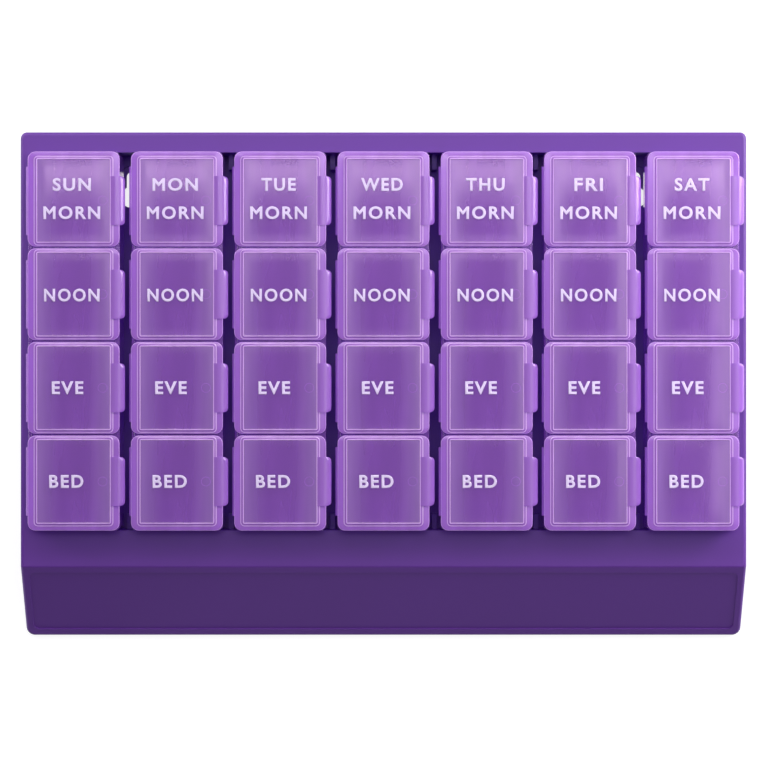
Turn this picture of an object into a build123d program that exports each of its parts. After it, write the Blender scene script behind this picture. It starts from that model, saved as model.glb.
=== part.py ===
"""Weekly pill organizer: a tray, seven lift-out daily strips, and four hinged lids on each strip.

Millimetres. +X runs along the week, +Y to the back, +Z up.
The origin is the middle of the footprint, on the desk.
"""
import os
from math import atan2, degrees

from build123d import *

# The week: strips from left to right, compartments from the back to the front.
days = ["sun", "mon", "tue", "wed", "thu", "fri", "sat"]
times = ["morn", "noon", "eve", "bed"]
strip_gap = 3.7
time_pitch = 29.0

# Reach of a cutting tool past the face it starts from.
overrun = 1.0

# Daily strip: a trough with a round-cornered section, and dividers.
strip_width = 28.3
strip_height = 21.0
strip_wall = 1.4
strip_bottom = 1.4
divider = 1.5
trough_radius = 6.0
strip_belly_radius = 6.5
strip_corner = 1.0

# Hinge: a rail on top of the strip's left wall, with windows under it, and a C-shaped knuckle on the lid.
rail_radius = 0.7
rail_under = 0.2
rail_drop = 0.95
knuckle_sides = 8
knuckle_clearance = 0.12
knuckle_wall = 0.65
knuckle_length = 21.2
knuckle_mouth = 1.1
window_end_clearance = 0.2
window_clearance = 0.25

# Lid: a plate with a raised panel, a plug rim underneath and a thumb tab.
lid_side_overhang = 0.1
lid_gap = 0.5
lid_thickness = 1.0
lid_corner = 1.4
lid_edge = 0.3
panel_side_margin = 1.95
panel_end_margin = 0.4
panel_rise = 0.4
panel_slope = 0.75
plug_depth = 1.2
plug_wall = 0.8
plug_clearance = 0.25
plug_hinge_clearance = 0.5

# Thumb tab at the lid's free edge.
tab_length = 15.2
tab_reach = 1.6
tab_rise = 0.35
tab_root = 2.4
tab_droop = 1.0
tab_lip = 0.9
tab_corner = 1.0
tab_wall_clearance = 0.25
tab_facets = 3

# Tray shell.
tray_height = 18.0
tray_wall = 2.2
tray_floor = 2.0
floor_level = 4.0
side_rim = 2.75
back_rim = 6.4
front_shelf = 11.4
slope_run = 22.7
front_lip = 1.6
tray_back_corner = 2.0
tray_front_corner = 2.6
tray_edge = 1.2
recess_side_clearance = 0.6
recess_end_clearance = 0.3
recess_corner = 1.6

# Inset panel on the sloping front.
inset_margin = 2.5
inset_depth = 0.4
inset_corner = 2.0

# Trough along the front of the recess floor.
gutter_width = 9.2
gutter_depth = 0.8

# Locating ribs between the strips, at both ends of the recess.
rib_width = 1.6
rib_length = 4.8
rib_height = 6.0

# Keyholes for two wall screws.
key_slot_width = 3.2
key_entry_radius = 3.4
key_travel = 6.4
key_back_distance = 6.6
key_ring_radius = 3.5
key_ring_depth = 0.8

# Webs under the front shelf.
gusset_width = 1.6
gusset_count = 1
gusset_lift = 1.2

# Sizes that follow from those above.
day_pitch = strip_width + strip_gap
strip_length = len(times) * time_pitch + divider
rim_level = floor_level + strip_height
plate_top = rim_level + lid_thickness
rail_level = rim_level - rail_drop
rail_x = -strip_width / 2 + rail_radius
knuckle_inner = rail_radius + knuckle_clearance
knuckle_outer = knuckle_inner + knuckle_wall
knuckle_sweep = RegularPolygon(knuckle_outer, knuckle_sides, major_radius=False).radius
cavity_width = strip_width - 2 * strip_wall
cavity_length = time_pitch - divider
lid_width = strip_width + 2 * lid_side_overhang
lid_length = time_pitch - lid_gap
lid_end_extra = (divider + lid_gap) / 2
panel_width = lid_width - 2 * panel_side_margin
panel_length = lid_length - 2 * panel_end_margin
recess_width = (len(days) - 1) * day_pitch + strip_width + 2 * recess_side_clearance
recess_length = strip_length + 2 * recess_end_clearance
tray_width = recess_width + 2 * side_rim
tray_depth = back_rim + recess_length + front_shelf + slope_run
recess_y = tray_depth / 2 - back_rim - recess_length / 2
recess_back = recess_y + recess_length / 2
recess_front = recess_y - recess_length / 2


def upright(outline, low, high):
    """Plan outline raised from one level to another."""
    return Pos(0, 0, low) * extrude(outline, high - low)


def across(profile, length):
    """Side profile, drawn in Y and Z, run along X."""
    return extrude(Plane.YZ * profile, length / 2, both=True)


def lengthwise(profile, length):
    """End profile, drawn in X and Z, run along Y."""
    return extrude(Plane.XZ * profile, length / 2, both=True)


def trough_profile(width, low, high, radius):
    """Upright section with its two lower corners rounded."""
    section = Pos(0, (low + high) / 2) * Rectangle(width, high - low)
    return fillet(section.vertices().group_by(Axis.Y)[0], radius)


def box_between(x_span, y_span, z_span):
    """Block between two values on each axis."""
    size = [b - a for a, b in (x_span, y_span, z_span)]
    middle = [(a + b) / 2 for a, b in (x_span, y_span, z_span)]
    return Pos(*middle) * Box(*size)


def time_y(row):
    """Middle of a compartment, measured from the middle of the strip."""
    return ((len(times) - 1) / 2 - row) * time_pitch


def day_x(column):
    """Middle of a strip."""
    return (column - (len(days) - 1) / 2) * day_pitch


def knuckle_outline(reach):
    """Eight-sided outline of the knuckle round the hinge axis, with one side level on top."""
    turn = 180 / knuckle_sides
    return RegularPolygon(reach, knuckle_sides, major_radius=False, rotation=turn)


def strip():
    """One daily strip, centred on the strip's own middle in plan."""
    belly = trough_profile(strip_width, floor_level, rim_level, strip_belly_radius)
    plan = Rectangle(strip_width, strip_length)
    plan = chamfer(plan.vertices(), strip_corner)
    body = lengthwise(belly, strip_length) & upright(plan, floor_level, rim_level)

    cavity_floor = floor_level + strip_bottom
    cavity_section = trough_profile(cavity_width, cavity_floor, rim_level + overrun, trough_radius)
    cavity = lengthwise(cavity_section, cavity_length)
    body -= [Pos(0, time_y(row), 0) * cavity for row in range(len(times))]

    left = -strip_width / 2 - overrun
    shoulder = rail_x + rail_radius
    whole = (-strip_length / 2 - overrun, strip_length / 2 + overrun)
    body -= box_between((left, shoulder), whole, (rail_level, rim_level + overrun))
    rail = lengthwise(Pos(rail_x, rail_level) * Circle(rail_radius), strip_length - 2 * strip_corner)
    body += rail

    half = knuckle_length / 2 + window_end_clearance
    window_z = (rail_level - knuckle_sweep - window_clearance, rail_level - rail_under)
    window = box_between((left, shoulder + overrun), (-half, half), window_z)
    body -= [Pos(0, time_y(row), 0) * window for row in range(len(times))]
    return body


def lid_plate(length):
    """Flat plate with its top edge broken."""
    plan = Rectangle(lid_width, length)
    plate = upright(chamfer(plan.vertices(), lid_corner), rim_level, plate_top)
    return chamfer(plate.faces().sort_by(Axis.Z)[-1].edges(), lid_edge)


def lid_panel():
    """Raised panel with sloping sides."""
    foot = Rectangle(panel_width, panel_length)
    lean = degrees(atan2(panel_slope, panel_rise))
    return Pos(0, 0, plate_top) * extrude(foot, panel_rise, taper=lean)


def lid_plug():
    """Rim that plugs into the compartment, clear of the hinge rail."""
    left = rail_x + rail_radius + plug_hinge_clearance
    right = cavity_width / 2 - plug_clearance
    half = cavity_length / 2 - plug_clearance
    low = rim_level - plug_depth
    outside = box_between((left, right), (-half, half), (low, plate_top - lid_edge))
    inner_x = (left + plug_wall, right - plug_wall)
    inner_y = (-half + plug_wall, half - plug_wall)
    return outside - box_between(inner_x, inner_y, (low - overrun, rim_level))


def lid_knuckle():
    """C-shaped clip that snaps down over the hinge rail."""
    mouth_depth = knuckle_outer + overrun
    mouth = Pos(0, -mouth_depth / 2) * Rectangle(knuckle_mouth, mouth_depth)
    ring = knuckle_outline(knuckle_outer) - mouth
    return lengthwise(Pos(rail_x, rail_level) * ring, knuckle_length)


def lid_throat():
    """Room for the hinge rail through the knuckle."""
    return lengthwise(Pos(rail_x, rail_level) * knuckle_outline(knuckle_inner), knuckle_length)


def lid_tab():
    """Thumb tab: a rounded brow that starts on the plate and droops past the strip's right wall."""
    edge = lid_width / 2
    tip = edge + tab_reach
    root = edge - tab_root
    inner = strip_width / 2 + tab_wall_clearance
    tip_top = plate_top - tab_droop
    arc = ThreePointArc((root, plate_top), (edge, plate_top + tab_rise), (tip, tip_top))
    brow = [arc @ (n / tab_facets) for n in range(tab_facets + 1)]
    lower = [
        (tip, tip_top - tab_lip),
        (inner, tip_top - tab_lip),
        (inner, rim_level),
        (root, rim_level),
    ]
    section = make_face(Polyline(*brow, *lower, close=True))
    plan = Pos((root + tip) / 2, 0) * Rectangle(tip - root, tab_length)
    plan = chamfer(plan.vertices().group_by(Axis.X)[-1], tab_corner)
    return lengthwise(section, tab_length) & upright(plan, 0, plate_top + tab_rise + overrun)


def lid(back_extra, front_extra):
    """One lid over the middle of its compartment; an end lid also covers the strip's end wall."""
    plate = Pos(0, (back_extra - front_extra) / 2, 0) * lid_plate(lid_length + back_extra + front_extra)
    return plate + lid_panel() + lid_plug() + lid_tab() + lid_knuckle() - lid_throat()


def tray_side(drop):
    """Side profile of the tray, carried below the desk by drop."""
    back = tray_depth / 2
    corners = [
        (-back, -drop),
        (-back, front_lip),
        (-back + slope_run, tray_height),
        (back, tray_height),
        (back, -drop),
    ]
    return make_face(Polyline(*corners, close=True))


def tray_body():
    """Outer form of the tray, solid, with rounded corners and edges."""
    plan = Rectangle(tray_width, tray_depth)
    plan = fillet(plan.vertices().group_by(Axis.Y)[-1], tray_back_corner)
    plan = fillet(plan.vertices().group_by(Axis.Y)[0], tray_front_corner)
    body = across(tray_side(0), tray_width) & upright(plan, 0, tray_height)
    top = body.faces().sort_by(Axis.Z)[-1]
    slope = body.faces().filter_by(GeomType.PLANE).sort_by(Axis.Y)[1]
    flanks = [edge for edge in slope.edges() if abs(edge.tangent_at(0).X) < abs(edge.tangent_at(0).Z)]
    return fillet(top.edges() + flanks, tray_edge)


def tray_inset():
    """Shallow inset panel sunk in the sloping face."""
    rise = tray_height - front_lip
    slope_length = (slope_run**2 + rise**2) ** 0.5
    middle = (0, -tray_depth / 2 + slope_run / 2, (tray_height + front_lip) / 2)
    slope = Plane(origin=middle, x_dir=(1, 0, 0), z_dir=(0, -rise, slope_run))
    outline = RectangleRounded(tray_width - 2 * inset_margin, slope_length - 2 * inset_margin, inset_corner)
    return extrude(slope * outline, -inset_depth) + extrude(slope * outline, overrun)


def tray_ribs():
    """Locating ribs between the strips, at both ends; the keyholes take the place of two at the back."""
    ribs = []
    low = floor_level - tray_floor
    for gap in range(len(days) - 1):
        x = (day_x(gap) + day_x(gap + 1)) / 2
        x_span = (x - rib_width / 2, x + rib_width / 2)
        z_span = (low, floor_level + rib_height)
        ribs.append(box_between(x_span, (recess_front - overrun, recess_front + rib_length), z_span))
        if 0 < gap < len(days) - 2:
            ribs.append(box_between(x_span, (recess_back - rib_length, recess_back + overrun), z_span))
    return ribs


def keyhole():
    """Entry hole, slot and sunk ring, cut through the recess floor."""
    seat_y = recess_back - key_back_distance
    entry_y = seat_y - key_travel
    seat = Pos(0, seat_y) * Circle(key_slot_width / 2)
    entry = Pos(0, entry_y) * Circle(key_entry_radius)
    slot = Pos(0, (seat_y + entry_y) / 2) * Rectangle(key_slot_width, key_travel)
    through = upright(seat + entry + slot, 0, floor_level + overrun)
    ring = Pos(0, seat_y) * Circle(key_ring_radius)
    return through + upright(ring, floor_level - key_ring_depth, floor_level + overrun)


def tray_gussets():
    """Upright webs that carry the front shelf and the slope."""
    room = recess_width / (gusset_count + 1)
    y_span = (-tray_depth / 2, recess_front - tray_wall / 2)
    webs = []
    for n in range(gusset_count):
        x = (n + 1) * room - recess_width / 2
        x_span = (x - gusset_width / 2, x + gusset_width / 2)
        webs.append(box_between(x_span, y_span, (gusset_lift, tray_height)))
    return webs


def tray():
    """Moulded tray, open underneath, with the recess for the strips."""
    body = tray_body()
    hollow = across(offset(tray_side(tray_wall + overrun), -tray_wall), tray_width - 2 * tray_wall)
    block_x = recess_width / 2 + tray_wall
    block_y = (recess_front - tray_wall, recess_back + tray_wall)
    block = box_between((-block_x, block_x), block_y, (floor_level - tray_floor, tray_height))
    recess_plan = Pos(0, recess_y) * RectangleRounded(recess_width, recess_length, recess_corner)
    recess = upright(recess_plan, floor_level, tray_height + overrun)
    half = recess_width / 2
    gutter_y = (recess_front, recess_front + gutter_width)
    gutter = box_between((-half, half), gutter_y, (floor_level - gutter_depth, floor_level + overrun))
    gutter &= upright(recess_plan, 0, tray_height)

    shell = body - hollow
    for web in [block] + tray_gussets():
        shell += body & web
    shell -= recess
    shell -= gutter
    for rib in tray_ribs():
        shell += rib
    shell -= tray_inset()
    key_x = (day_x(len(days) - 1) + day_x(len(days) - 2)) / 2
    for x in (-key_x, key_x):
        shell -= Pos(x, 0, 0) * keyhole()
    return shell


def write(node, solid):
    """One piece to its own file."""
    export_step(solid, os.path.join("parts", node + ".step"))


os.makedirs("parts", exist_ok=True)
write("tray", tray())
one_strip = strip()
end_lids = {0: lid(lid_end_extra, 0), len(times) - 1: lid(0, lid_end_extra)}
middle_lid = lid(0, 0)
for column, day in enumerate(days):
    write("strip_" + day, Pos(day_x(column), recess_y, 0) * one_strip)
    for row, time in enumerate(times):
        piece = end_lids.get(row, middle_lid)
        write(f"lid_{day}_{time}", Pos(day_x(column), recess_y + time_y(row), 0) * piece)
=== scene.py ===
"""Weekly pill organizer, seen from straight above on a white floor.

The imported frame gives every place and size. This script adds the finishes, soft edges, lettering and light.
Metres, in the frame's own axes: +X along the week, +Y to the back, +Z up.
"""

import math

import bmesh
import bpy
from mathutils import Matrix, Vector


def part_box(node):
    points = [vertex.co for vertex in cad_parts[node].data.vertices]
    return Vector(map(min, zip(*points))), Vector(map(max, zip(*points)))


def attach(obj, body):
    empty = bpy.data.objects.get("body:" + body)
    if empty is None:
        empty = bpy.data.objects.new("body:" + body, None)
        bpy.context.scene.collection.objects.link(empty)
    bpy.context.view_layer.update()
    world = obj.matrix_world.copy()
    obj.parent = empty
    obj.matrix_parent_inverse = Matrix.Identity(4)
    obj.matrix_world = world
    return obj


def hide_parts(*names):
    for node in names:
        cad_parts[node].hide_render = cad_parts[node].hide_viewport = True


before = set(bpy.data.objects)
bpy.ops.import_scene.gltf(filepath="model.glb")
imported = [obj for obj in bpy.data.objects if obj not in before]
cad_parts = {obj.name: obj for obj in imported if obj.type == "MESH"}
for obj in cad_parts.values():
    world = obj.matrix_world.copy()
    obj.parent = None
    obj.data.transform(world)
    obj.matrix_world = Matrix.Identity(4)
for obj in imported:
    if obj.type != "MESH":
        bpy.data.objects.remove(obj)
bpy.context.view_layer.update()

MM = 0.001
DAYS = ["sun", "mon", "tue", "wed", "thu", "fri", "sat"]
TIMES = ["morn", "noon", "eve", "bed"]

# Material places on a lid's cover, and the gate ring's on its label, after the print.
WINDOW, FRAME, EDGE_HIGHLIGHT, TAB = range(4)
RING = 1

# Colour sockets of the Mix node, which share their names with its sockets of other types.
MIX_FIRST, MIX_SECOND, MIX_RESULT = 6, 7, 2

# Camera: straight above, at the distance at which the tray fills the photographed part of the frame.
camera_place = (0.16 * MM, 0.55 * MM, 918 * MM)
lens = 135
sensor = 36

# Lettering on the lids.
cap_height = 4.05 * MM
print_thickness = 0.03 * MM
print_lift = 0.03 * MM
stroke_share = 0.03
letter_spacing = 1.22
letter_steps = 4
word_widths = {
    "SUN": 11.9 * MM,
    "MON": 14.1 * MM,
    "TUE": 10.7 * MM,
    "WED": 12.9 * MM,
    "THU": 12.0 * MM,
    "FRI": 8.9 * MM,
    "SAT": 10.8 * MM,
    "MORN": 17.6 * MM,
    "NOON": 17.2 * MM,
    "EVE": 9.8 * MM,
    "BED": 10.6 * MM,
}
day_place = (-0.5 * MM, 4.95 * MM)
word_places = {
    "morn": (-0.5 * MM, -3.8 * MM),
    "noon": (-0.5 * MM, -0.3 * MM),
    "eve": (-1.8 * MM, 0.0),
    "bed": (-2.2 * MM, 0.0),
}

# Cover of a lid, within its CAD node's sizes. Heights are measured from the plate's top.
plate_half = 14.25 * MM
plate_corner = 2.4 * MM
plate_thickness = 1.0 * MM
plate_edge = 0.32 * MM
edge_steps = 4
small_edge = 0.1 * MM
corner_steps = 6
side_steps = 8

# Raised panel of the lid: its face in rings, a fine bead round it, and the slope down to the plate.
head_half = (11.55 * MM, 13.1 * MM)
head_corner = 0.5 * MM
ring_shares = (0.2, 0.4, 0.6, 0.7, 0.78, 0.85, 0.91, 0.96)
panel_rise = 0.14 * MM
panel_dome = 0.22 * MM
dome_power = 5
panel_sag = 0.03 * MM
sag_power = 2
bead_width = 0.3 * MM
bead_rise = 0.05 * MM
bead_crest_shares = (0.7, 0.3)
panel_slope = 0.72 * MM
slope_shares = (0.72, 0.95, 1.1)
slope_heights = (0.05 * MM, 0.03 * MM, 0.0)

# Plug rim under the plate.
plug_x = (-12.25 * MM, 12.5 * MM)
plug_half = 13.5 * MM
plug_wall = 0.8 * MM
plug_depth = 1.2 * MM
plug_corner = 0.6 * MM
plug_floor_inset = 2.4 * MM

# Thumb tab. The brow's middle point pulls its curve and isn't on it.
tab_half = 7.6 * MM
tab_corner = 1.3 * MM
tab_root_x = 11.3 * MM
tab_tip_x = 15.85 * MM
tab_brow = (14.65 * MM, 1.18 * MM)
tab_droop = 1.0 * MM
tab_lip = 0.9 * MM
tab_inner_x = 14.4 * MM
tab_steps = 10
brow_steps = 10
lip_share = 0.4
lip_bevel = 0.1 * MM
lip_foot = 0.3 * MM

# Hinge clip.
hinge_x = -13.45 * MM
hinge_drop = 1.95 * MM
clip_outer = 1.47 * MM
clip_outer_steps = 26
clip_inner = 0.82 * MM
clip_inner_steps = 18
clip_mouth = 0.55 * MM
clip_half = 10.6 * MM

# Mark of the moulding gate, a fine ring on each panel.
gate_x = 9.0 * MM
gate_radius = 1.4 * MM
gate_line = 0.06 * MM
gate_steps = 32
gate_sides = 6

# Soft edges of the moulded pieces.
tray_round = 0.35 * MM
tray_round_steps = 3
strip_round = 0.22 * MM
strip_round_steps = 2
crease_angle = math.radians(40)
weld_reach = 0.002 * MM
flat_angle = math.radians(0.5)

# Detail of the noise that varies a finish over a piece. Its scales are per metre.
cloud_detail = 3
grain_detail = 2

# Tray finish. A pair is the span of a value that varies.
tray_colour = (0.115, 0.0225, 0.285)
tray_shares = (0.93, 1.07)
tray_roughness = (0.42, 0.5)
tray_specular = 0.56
tray_cloud_scale = 22
tray_grain_scale = 2600
tray_grain_strength = 0.12
tray_grain_height = 0.05 * MM

# Clear finishes: the milk's streaks and ripples, its share of light let through, and the skin.
milk_shares = (0.9, 1.1)
opacity_shares = (0.88, 1.12)
streak_stretch = (1.0, 0.12, 1.0)
streak_scale = 230
ripple_scale = 260
ripple_strength = 0.05
ripple_height = 0.1 * MM
through_share = 0.3
skin_index = 1.7

# Windows: from these shares of the way out, gloss goes to satin and the colour goes paler towards the sides.
satin_share = 0.7
satin_roughness = 0.24
haze_share = 0.3

# Print finish.
print_colour = (0.78, 0.655, 0.93)
print_shares = (0.9, 1.04)
print_roughness = (0.4, 0.55)
print_scale = 1800

# Floor, just under the tray: greys of its shadow and of the light it sends back, and its own white.
floor_reach = 3.0
floor_drop = 0.2 * MM
floor_shadow = (0.31, 0.31, 0.31, 1)
floor_bounce = (0.75, 0.75, 0.75, 1)
floor_white = 0.84

# Room light.
room_colour = (0.86, 0.87, 1.0, 1)
room_strength = 0.165


def new_material(name):
    """Empty node material, with its tree and its output."""
    material = bpy.data.materials.new(name)
    material.use_nodes = True
    tree = material.node_tree
    tree.nodes.clear()
    output = tree.nodes.new("ShaderNodeOutputMaterial")
    return material, tree, output


def add_node(tree, kind, inputs=None, **settings):
    """One node, with its settings and the values or links of its inputs."""
    node = tree.nodes.new(kind)
    for key, value in settings.items():
        setattr(node, key, value)
    for key, value in (inputs or {}).items():
        if isinstance(value, bpy.types.NodeSocket):
            tree.links.new(value, node.inputs[key])
        else:
            node.inputs[key].default_value = value
    return node


def math_node(tree, operation, *values, clamp=False):
    """Result of one sum on sockets or numbers."""
    inputs = dict(enumerate(values))
    return add_node(tree, "ShaderNodeMath", inputs, operation=operation, use_clamp=clamp).outputs[0]


def vector_node(tree, operation, *values):
    """Result of one sum on vectors."""
    inputs = dict(enumerate(values))
    return add_node(tree, "ShaderNodeVectorMath", inputs, operation=operation).outputs[0]


def object_place(tree):
    """Place on the piece itself, which goes with it when it moves."""
    return add_node(tree, "ShaderNodeTexCoord").outputs["Object"]


def noise(tree, place, scale, detail):
    """Fine random value from 0 to 1, about 1/scale metres across."""
    inputs = {"Vector": place, "Scale": scale, "Detail": detail}
    return add_node(tree, "ShaderNodeTexNoise", inputs).outputs["Fac"]


def bumped(tree, height, strength, distance):
    """Normal of a face made uneven by a value from 0 to 1."""
    inputs = {"Height": height, "Strength": strength, "Distance": distance}
    return add_node(tree, "ShaderNodeBump", inputs).outputs[0]


def between(tree, value, low, high):
    """A value from 0 to 1 brought to the span from low to high."""
    inputs = {"Value": value, "To Min": low, "To Max": high}
    return add_node(tree, "ShaderNodeMapRange", inputs).outputs["Result"]


def eased(tree, value, start, low, high):
    """A value that goes smoothly from low to high between start and 1."""
    inputs = {"Value": value, "From Min": start, "From Max": 1.0, "To Min": low, "To Max": high}
    return add_node(tree, "ShaderNodeMapRange", inputs, interpolation_type="SMOOTHSTEP").outputs["Result"]


def mixed(tree, factor, first, second):
    """Colour between two colours or sockets."""
    inputs = {"Factor": factor, MIX_FIRST: first, MIX_SECOND: second}
    return add_node(tree, "ShaderNodeMix", inputs, data_type="RGBA").outputs[MIX_RESULT]


def shaded(tree, colour, value, low, high):
    """A colour made darker and lighter by a value from 0 to 1."""
    dark = [c * low for c in colour] + [1]
    light = [c * high for c in colour] + [1]
    return mixed(tree, value, dark, light)


def tray_material():
    """Satin moulded plastic: fine grain, slight cloudiness in colour and gloss."""
    material, tree, output = new_material("tray_plastic")
    place = object_place(tree)
    cloud = noise(tree, place, tray_cloud_scale, cloud_detail)
    grain = noise(tree, place, tray_grain_scale, grain_detail)
    shader = add_node(
        tree,
        "ShaderNodeBsdfPrincipled",
        {
            "Base Color": shaded(tree, tray_colour, cloud, *tray_shares),
            "Roughness": between(tree, cloud, *tray_roughness),
            "Specular IOR Level": tray_specular,
            "Normal": bumped(tree, grain, tray_grain_strength, tray_grain_height),
        },
    )
    tree.links.new(shader.outputs[0], output.inputs[0])
    return material


def panel_share(tree, place):
    """How far out a place on a panel is, from 0 in the middle to 1 at the border: across, and either way."""
    share = vector_node(tree, "MULTIPLY", place, (1 / head_half[0], 1 / head_half[1], 0))
    axes = add_node(tree, "ShaderNodeSeparateXYZ", {0: vector_node(tree, "ABSOLUTE", share)}).outputs
    return axes["X"], math_node(tree, "MAXIMUM", axes["X"], axes["Y"])


def clear_material(name, colour, opacity, tint, roughness, gloss_colour, haze_colour=None):
    """Milky see-through plastic: part of the light goes straight on, tinted, and the skin is glossy."""
    material, tree, output = new_material(name)
    place = object_place(tree)
    streaks = vector_node(tree, "MULTIPLY", place, streak_stretch)
    cloud = noise(tree, streaks, streak_scale, grain_detail)
    ripple = noise(tree, place, ripple_scale, grain_detail)
    bump = bumped(tree, ripple, ripple_strength, ripple_height)
    milk_colour = shaded(tree, colour, cloud, *milk_shares)
    if haze_colour:
        across, outward = panel_share(tree, place)
        roughness = eased(tree, outward, satin_share, roughness, satin_roughness)
        # The colour goes paler towards the panel's sides across.
        haze = shaded(tree, haze_colour, cloud, *milk_shares)
        milk_colour = mixed(tree, eased(tree, across, haze_share, 0.0, 1.0), milk_colour, haze)
    face = add_node(tree, "ShaderNodeBsdfDiffuse", {"Color": milk_colour, "Normal": bump})
    through = add_node(tree, "ShaderNodeBsdfTranslucent", {"Color": milk_colour, "Normal": bump})
    milk = add_node(
        tree, "ShaderNodeMixShader", {0: through_share, 1: face.outputs[0], 2: through.outputs[0]}
    )
    clear = add_node(tree, "ShaderNodeBsdfTransparent", {"Color": (*tint, 1)})
    stopped = between(tree, cloud, *(share * opacity for share in opacity_shares))
    body = add_node(tree, "ShaderNodeMixShader", {0: stopped, 1: clear.outputs[0], 2: milk.outputs[0]})
    gloss = add_node(
        tree, "ShaderNodeBsdfGlossy", {"Color": (*gloss_colour, 1), "Roughness": roughness, "Normal": bump}
    )
    inside = add_node(tree, "ShaderNodeNewGeometry").outputs["Backfacing"]
    fresnel = add_node(tree, "ShaderNodeFresnel", {"IOR": skin_index, "Normal": bump}).outputs[0]
    weight = math_node(tree, "MULTIPLY", fresnel, math_node(tree, "SUBTRACT", 1.0, inside))
    skin = add_node(tree, "ShaderNodeMixShader", {0: weight, 1: body.outputs[0], 2: gloss.outputs[0]})
    tree.links.new(skin.outputs[0], output.inputs[0])
    return material


def print_material():
    """Pale lavender pad print, slightly uneven."""
    material, tree, output = new_material("pale_print")
    cover = noise(tree, object_place(tree), print_scale, cloud_detail)
    shader = add_node(
        tree,
        "ShaderNodeBsdfPrincipled",
        {
            "Base Color": shaded(tree, print_colour, cover, *print_shares),
            "Roughness": between(tree, cover, *print_roughness),
        },
    )
    tree.links.new(shader.outputs[0], output.inputs[0])
    return material


def floor_material():
    """White floor that keeps the object's soft shadow."""
    material, tree, output = new_material("white_floor")
    rays = add_node(tree, "ShaderNodeLightPath").outputs
    seen = math_node(tree, "ADD", rays["Is Camera Ray"], rays["Is Glossy Ray"])
    seen = math_node(tree, "ADD", seen, rays["Is Transmission Ray"], clamp=True)
    shadow_part = add_node(tree, "ShaderNodeBsdfDiffuse", {"Color": floor_shadow})
    white_part = add_node(tree, "ShaderNodeEmission", {"Strength": floor_white})
    shown = add_node(tree, "ShaderNodeAddShader", {0: shadow_part.outputs[0], 1: white_part.outputs[0]})
    plain = add_node(tree, "ShaderNodeBsdfDiffuse", {"Color": floor_bounce})
    both = add_node(tree, "ShaderNodeMixShader", {0: seen, 1: plain.outputs[0], 2: shown.outputs[0]})
    tree.links.new(both.outputs[0], output.inputs[0])
    return material


def soften(piece, width, segments):
    """Rounds the edges of a CAD piece as it shows, with its own mesh left as it is."""
    weld = piece.modifiers.new("weld", "WELD")
    weld.merge_threshold = weld_reach
    flat = piece.modifiers.new("flat", "DECIMATE")
    flat.decimate_type = "DISSOLVE"
    flat.angle_limit = flat_angle
    bevel = piece.modifiers.new("round", "BEVEL")
    bevel.width = width
    bevel.segments = segments
    bevel.limit_method = "ANGLE"
    bevel.angle_limit = crease_angle
    bevel.use_clamp_overlap = True
    normals = piece.modifiers.new("normals", "WEIGHTED_NORMAL")
    normals.keep_sharp = False


def dress(piece, material):
    """One material all over a CAD piece."""
    piece.data.materials.clear()
    piece.data.materials.append(material)


def rounded_loop(x_span, y_span, radius, height):
    """Points round a rounded rectangle, as many for every size, so that loops can be joined."""
    centres = [
        (x_span[1] - radius, y_span[1] - radius),
        (x_span[0] + radius, y_span[1] - radius),
        (x_span[0] + radius, y_span[0] + radius),
        (x_span[1] - radius, y_span[0] + radius),
    ]
    arcs = []
    for corner, (x, y) in enumerate(centres):
        turns = [math.pi / 2 * (corner + step / corner_steps) for step in range(corner_steps + 1)]
        arcs.append([Vector((x + radius * math.cos(t), y + radius * math.sin(t), height)) for t in turns])
    points = []
    for arc, following in zip(arcs, arcs[1:] + arcs[:1]):
        points += arc
        points += [arc[-1].lerp(following[0], step / side_steps) for step in range(1, side_steps)]
    return points


def inset_loop(x_span, y_span, radius, inset, height):
    """Rounded loop drawn in by an inset on every side, or out by a negative one."""
    x_inset = (x_span[0] + inset, x_span[1] - inset)
    y_inset = (y_span[0] + inset, y_span[1] - inset)
    return rounded_loop(x_inset, y_inset, max(radius - inset, small_edge), height)


def dome_height(x, y):
    """Rise of the panel's face over its border."""
    across = panel_dome * (1 - min(1, abs(x / head_half[0])) ** dome_power)
    along = panel_sag * (1 - min(1, abs(y / head_half[1])) ** sag_power)
    return across + along


def join_loops(shell, loops, looks):
    """Faces between neighbouring loops, each band in its own look, with both ends closed."""
    rings = [[shell.verts.new(point) for point in loop] for loop in loops]
    count = len(rings[0])
    for ring, following, look in zip(rings, rings[1:], looks):
        for n in range(count):
            other = (n + 1) % count
            face = shell.faces.new((ring[n], ring[other], following[other], following[n]))
            face.material_index = look
    for ring, look in ((rings[0], looks[0]), (rings[-1], looks[-1])):
        shell.faces.new(ring).material_index = look


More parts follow.
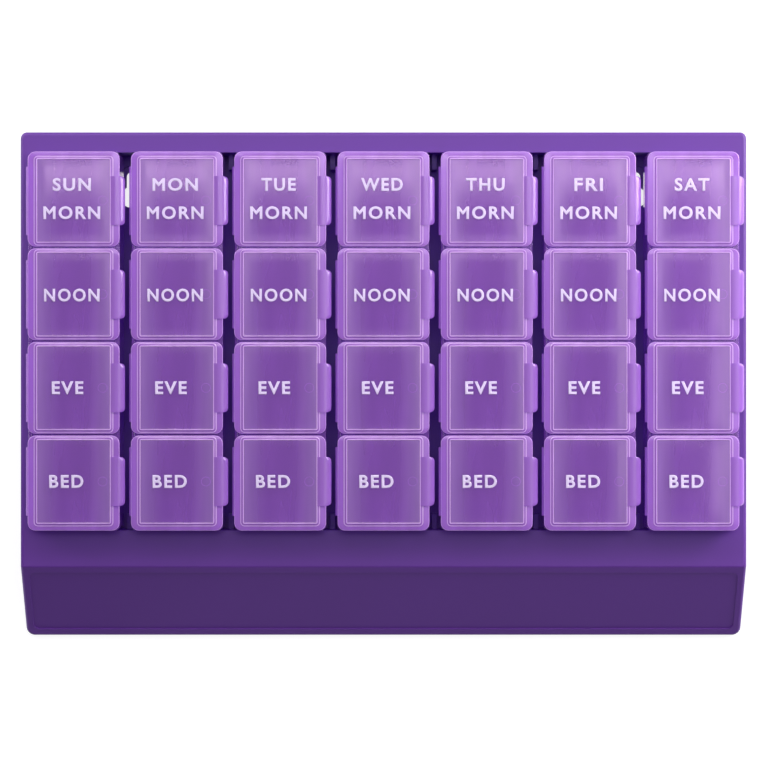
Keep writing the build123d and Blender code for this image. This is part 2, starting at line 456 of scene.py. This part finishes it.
def lid_shell(y_span):
    """Plate, panel and plug rim as one closed skin, from the middle of the top to the middle underneath."""
    head = [(-h, h) for h in head_half]
    plate = ((-plate_half, plate_half), y_span, plate_corner)
    plug = (plug_x, (-plug_half, plug_half), plug_corner)

    # Panel: its face, the bead and the slope.
    loops = []
    for share in ring_shares:
        spans = [(low * share, high * share) for low, high in head]
        loops.append(rounded_loop(*spans, head_corner * share, panel_rise))
    bead = [(bead_width, 0), *((share * bead_width, bead_rise) for share in bead_crest_shares), (0, 0)]
    for inset, rise in bead:
        loops.append(inset_loop(*head, head_corner, inset, panel_rise + rise))
    for loop in loops:
        for point in loop:
            point.z += dome_height(point.x, point.y)
    for share, height in zip(slope_shares, slope_heights):
        loops.append(inset_loop(*head, head_corner, -share * panel_slope, height))
    # The bands of the bead and of the slope carry the painted highlight lines.
    looks = [WINDOW] * len(ring_shares) + [EDGE_HIGHLIGHT] * 3 + [FRAME] + [EDGE_HIGHLIGHT] * 2 + [FRAME]

    # Plate: its rounded edge and its side.
    for step in range(edge_steps + 1):
        turn = math.pi / 2 * step / edge_steps
        inset = plate_edge * (1 - math.sin(turn))
        drop = plate_edge * (1 - math.cos(turn))
        loops.append(inset_loop(*plate, inset, -drop))
    # One band of the plate's rounded edge carries a painted highlight line.
    looks += [FRAME] + [EDGE_HIGHLIGHT] + [FRAME] * 3
    loops.append(inset_loop(*plate, 0, small_edge - plate_thickness))
    loops.append(inset_loop(*plate, small_edge, -plate_thickness))

    # Plug rim, down its outer side and up its inner one.
    low = -plate_thickness - plug_depth
    rim = [
        (0, -plate_thickness),
        (0, low + small_edge),
        (small_edge, low),
        (plug_wall - small_edge, low),
        (plug_wall, low + small_edge),
        (plug_wall, -plate_thickness),
        (plug_floor_inset, -plate_thickness),
    ]
    for inset, height in rim:
        loops.append(inset_loop(*plug, inset, height))
    looks += [WINDOW] * (len(rim) + 2)

    shell = bmesh.new()
    join_loops(shell, loops, looks)
    return shell


def tab_shell():
    """Thumb tab: a smooth brow that droops past the strip's wall, with rounded ends."""
    low = -tab_droop - tab_lip
    loops = []
    for step in range(-tab_steps, tab_steps + 1):
        y = tab_half * math.sin(step * math.pi / 2 / tab_steps)
        past = max(0, abs(y) - tab_half + tab_corner)
        tip = tab_tip_x - tab_corner + math.sqrt(max(0, tab_corner**2 - past**2))
        brow = []
        for part in range(brow_steps + 1):
            t = part / brow_steps
            x = (1 - t) ** 2 * tab_root_x + 2 * t * (1 - t) * tab_brow[0] + t**2 * tab_tip_x
            z = (1 - t) ** 2 * panel_rise + 2 * t * (1 - t) * tab_brow[1] - t**2 * tab_droop
            if x > plate_half:
                x = plate_half + (x - plate_half) * (tip - plate_half) / (tab_tip_x - plate_half)
            brow.append((x, z))
        under = [
            (tip, lip_share * low - (1 - lip_share) * tab_droop),
            (tip - lip_bevel, low + lip_bevel),
            (tip - lip_foot, low),
            (tab_inner_x, low),
            (tab_inner_x, -plate_thickness / 2),
            (tab_root_x, -plate_thickness / 2),
        ]
        loops.append([Vector((x, y, z)) for x, z in brow + under])
    shell = bmesh.new()
    join_loops(shell, loops, [TAB] * (len(loops) - 1))
    return shell


def clip_shell():
    """C-shaped clip round the hinge rail, open underneath."""
    outline = []
    for radius, steps, way in ((clip_outer, clip_outer_steps, 1), (clip_inner, clip_inner_steps, -1)):
        gap = math.asin(clip_mouth / radius)
        turns = [-math.pi / 2 + gap + (2 * math.pi - 2 * gap) * n / steps for n in range(steps + 1)]
        outline += [(radius * math.cos(t), radius * math.sin(t)) for t in turns[::way]]
    loops = []
    for y in (-clip_half, clip_half):
        loops.append([Vector((hinge_x + x, y, z - hinge_drop)) for x, z in outline])
    shell = bmesh.new()
    join_loops(shell, loops, [FRAME])
    return shell


def shell_object(name, shell, materials):
    """Object of a closed shell, faces outward."""
    bmesh.ops.recalc_face_normals(shell, faces=shell.faces)
    mesh = bpy.data.meshes.new(name)
    shell.to_mesh(mesh)
    shell.free()
    for material in materials:
        mesh.materials.append(material)
    piece = bpy.data.objects.new(name, mesh)
    bpy.context.scene.collection.objects.link(piece)
    return piece


def shown_mesh(piece):
    """New mesh of an object as it shows, with its modifiers."""
    bpy.context.view_layer.update()
    return bpy.data.meshes.new_from_object(piece.evaluated_get(bpy.context.evaluated_depsgraph_get()))


def lid_mesh(name, y_span, materials):
    """One lid as a single skin: plate, tab and clip fused, level with the plate's top."""
    base = shell_object(name, lid_shell(y_span), materials)
    tab = shell_object(name + "_tab", tab_shell(), materials)
    clip = shell_object(name + "_clip", clip_shell(), materials)
    for extra in (tab, clip):
        fuse = base.modifiers.new("fuse", "BOOLEAN")
        fuse.operation = "UNION"
        fuse.solver = "EXACT"
        fuse.object = extra
    mesh = shown_mesh(base)
    mesh.name = name
    for piece in (base, tab, clip):
        bpy.data.objects.remove(piece)
    fused = bmesh.new()
    fused.from_mesh(mesh)
    for face in fused.faces:
        face.smooth = True
    for edge in fused.edges:
        edge.smooth = edge.calc_face_angle(math.pi) < crease_angle
    fused.to_mesh(mesh)
    fused.free()
    return mesh


def word_mesh(word):
    """A word's outline as a thin mesh, middle on the origin, at its printed size."""
    curve = bpy.data.curves.new(word, "FONT")
    curve.body = word
    curve.bevel_depth = stroke_share
    curve.bevel_resolution = 0
    curve.space_character = letter_spacing
    curve.resolution_u = letter_steps
    text = bpy.data.objects.new(word, curve)
    bpy.context.scene.collection.objects.link(text)
    mesh = shown_mesh(text)
    bpy.data.objects.remove(text)
    bpy.data.curves.remove(curve)
    low = [min(v.co[k] for v in mesh.vertices) for k in range(3)]
    high = [max(v.co[k] for v in mesh.vertices) for k in range(3)]
    size = (word_widths[word], cap_height, print_thickness)
    for v in mesh.vertices:
        v.co = [(v.co[k] - (low[k] + high[k]) / 2) * size[k] / (high[k] - low[k]) for k in range(3)]
    return mesh


def gate_ring(target, middle):
    """Fine raised ring left by the moulding gate, laid on the panel."""
    loops = []
    for step in range(gate_steps):
        turn = 2 * math.pi * step / gate_steps
        loop = []
        for side in range(gate_sides):
            around = 2 * math.pi * side / gate_sides
            reach = gate_radius + gate_line * math.cos(around)
            x = gate_x + reach * math.cos(turn)
            y = reach * math.sin(turn)
            z = panel_rise + dome_height(x, y) + gate_line * math.sin(around) / 2
            loop.append(target.verts.new(middle + Vector((x, y, z))))
        loops.append(loop)
    for step, loop in enumerate(loops):
        following = loops[(step + 1) % gate_steps]
        for side in range(gate_sides):
            other = (side + 1) % gate_sides
            face = target.faces.new((loop[side], following[side], following[other], loop[other]))
            face.material_index = RING
            face.smooth = True


def label(day, time, middle, materials):
    """The printed words of one lid, laid on its panel, and the gate's mark beside them."""
    words = [(time.upper(), word_places[time])]
    if time == TIMES[0]:
        words.append((day.upper(), day_place))
    joined = bmesh.new()
    for word, (word_x, word_y) in words:
        mesh = word_mesh(word)
        for v in mesh.vertices:
            x = word_x + v.co.x
            y = word_y + v.co.y
            v.co = middle + Vector((x, y, panel_rise + dome_height(x, y) + print_lift + v.co.z))
        joined.from_mesh(mesh)
        bpy.data.meshes.remove(mesh)
    gate_ring(joined, middle)
    mesh = bpy.data.meshes.new(f"label_{day}_{time}")
    joined.to_mesh(mesh)
    joined.free()
    piece = bpy.data.objects.new(mesh.name, mesh)
    bpy.context.scene.collection.objects.link(piece)
    for material in materials:
        mesh.materials.append(material)
    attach(piece, f"lid_{day}_{time}")


def area_light(name, place, target, size, strength):
    """Soft rectangular lamp of an even brightness, aimed at a point."""
    lamp = bpy.data.lights.new(name, "AREA")
    lamp.shape = "RECTANGLE"
    lamp.size, lamp.size_y = size
    lamp.energy = strength * math.pi * size[0] * size[1]
    piece = bpy.data.objects.new(name, lamp)
    piece.location = place
    piece.rotation_euler = (Vector(target) - Vector(place)).to_track_quat("-Z", "Y").to_euler()
    bpy.context.scene.collection.objects.link(piece)


# Finishes.
tray_plastic = tray_material()
strip_plastic = clear_material(
    "strip_plastic",
    colour=(0.53, 0.17, 0.88),
    opacity=0.32,
    tint=(0.80, 0.64, 0.93),
    roughness=0.16,
    gloss_colour=(1, 0.9, 1),
)
lid_window = clear_material(
    "lid_window",
    colour=(0.54, 0.222, 0.84),
    opacity=0.36,
    tint=(0.86, 0.72, 0.96),
    roughness=0.09,
    gloss_colour=(1, 0.74, 1),
    haze_colour=(0.70, 0.40, 0.95),
)
# Frame plastic, partly painted light: paler and denser than the window, standing in for the light on the
# strip's wall under the frame. The clip and the gate ring take it too.
lid_frame_and_painted_light = clear_material(
    "lid_frame_and_painted_light",
    colour=(0.66, 0.29, 0.98),
    opacity=0.55,
    tint=(0.86, 0.68, 0.96),
    roughness=0.14,
    gloss_colour=(0.85, 0.7, 0.9),
)
# Painted highlight: the bead, the panel's slope and the plate's rounded edge get this paler, nearly opaque
# copy of the plastic, as lines of light where those edges catch it.
lid_edge_highlight = clear_material(
    "lid_edge_highlight",
    colour=(0.86, 0.55, 1.0),
    opacity=0.92,
    tint=(0.90, 0.80, 0.97),
    roughness=0.16,
    gloss_colour=(0.8, 0.56, 0.82),
)
# Tab plastic, partly painted light: denser like the thick tab, and paler to stand in for the light the
# drooping tabs catch.
lid_tab = clear_material(
    "lid_tab",
    colour=(0.60, 0.265, 0.91),
    opacity=0.63,
    tint=(0.88, 0.72, 0.97),
    roughness=0.2,
    gloss_colour=(1, 0.88, 1),
)
pale_print = print_material()
lid_materials = (lid_window, lid_frame_and_painted_light, lid_edge_highlight, lid_tab)
label_materials = (pale_print, lid_frame_and_painted_light)

# Places from the frame: the NOON and EVE lids are symmetric about their compartments.
noon_low, noon_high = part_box("lid_sun_noon")
eve_low, eve_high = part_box("lid_sun_eve")
noon_y = (noon_low.y + noon_high.y) / 2
time_pitch = noon_y - (eve_low.y + eve_high.y) / 2
noon_row = TIMES.index("noon")
time_y = {time: noon_y + (noon_row - row) * time_pitch for row, time in enumerate(TIMES)}
plate_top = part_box("strip_sun")[1].z + plate_thickness

# Tray, strips, and a cover and a label for each lid.
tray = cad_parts["tray"]
dress(tray, tray_plastic)
soften(tray, tray_round, tray_round_steps)
lid_meshes = {}
for time in TIMES:
    low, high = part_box("lid_sun_" + time)
    y_span = (low.y - time_y[time], high.y - time_y[time])
    lid_meshes[time] = lid_mesh("lid_" + time, y_span, lid_materials)
for day in DAYS:
    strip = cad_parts["strip_" + day]
    dress(strip, strip_plastic)
    soften(strip, strip_round, strip_round_steps)
    strip_low, strip_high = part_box("strip_" + day)
    for time in TIMES:
        node = f"lid_{day}_{time}"
        middle = Vector(((strip_low.x + strip_high.x) / 2, time_y[time], plate_top))
        cover = bpy.data.objects.new("cover_" + node, lid_meshes[time])
        cover.location = middle
        bpy.context.scene.collection.objects.link(cover)
        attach(cover, node)
        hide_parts(node)
        label(day, time, middle, label_materials)

# Floor.
floor_mesh = bpy.data.meshes.new("floor")
corners = [
    (-floor_reach, -floor_reach, 0),
    (floor_reach, -floor_reach, 0),
    (floor_reach, floor_reach, 0),
    (-floor_reach, floor_reach, 0),
]
floor_mesh.from_pydata(corners, [], [(0, 1, 2, 3)])
floor = bpy.data.objects.new("floor", floor_mesh)
floor.location.z = -floor_drop
bpy.context.scene.collection.objects.link(floor)
floor_mesh.materials.append(floor_material())

# Light: a high softbox that the back row mirrors, low ones behind, at both sides and in front,
# another high one at the right, which the rim and the tabs there mirror, and a pale room.
area_light(
    "high_softbox",
    place=(0.03, 0.352, 1.55),
    target=(0.03, 0.352, 0.0),
    size=(0.84, 0.36),
    strength=4.4,
)
area_light(
    "back_softbox",
    place=(0.0, 0.45, 0.35),
    target=(0.0, 0.0, 0.0),
    size=(0.9, 0.25),
    strength=2.7,
)
area_light(
    "right_softbox",
    place=(0.42, 0.18, 0.16),
    target=(0.09, 0.03, 0.02),
    size=(0.2, 0.44),
    strength=8.6,
)
area_light(
    "side_softbox",
    place=(0.58, 0.05, 1.2),
    target=(0.1, 0.03, 0.0),
    size=(0.3, 0.7),
    strength=1.6,
)
area_light(
    "left_softbox",
    place=(-0.46, 0.22, 0.16),
    target=(-0.09, 0.03, 0.02),
    size=(0.2, 0.44),
    strength=4.0,
)
area_light(
    "front_softbox",
    place=(0.15, -0.6, 0.3),
    target=(0.0, -0.05, 0.0),
    size=(0.9, 0.25),
    strength=0.5,
)

world = bpy.data.worlds.new("room")
world.use_nodes = True
background = world.node_tree.nodes["Background"]
background.inputs["Color"].default_value = room_colour
background.inputs["Strength"].default_value = room_strength
bpy.context.scene.world = world

# Camera.
camera = bpy.data.objects.new("camera", bpy.data.cameras.new("camera"))
camera.data.lens = lens
camera.data.sensor_width = sensor
camera.location = camera_place
bpy.context.scene.collection.objects.link(camera)
bpy.context.scene.camera = camera
bpy.context.scene.view_settings.view_transform = "Standard"
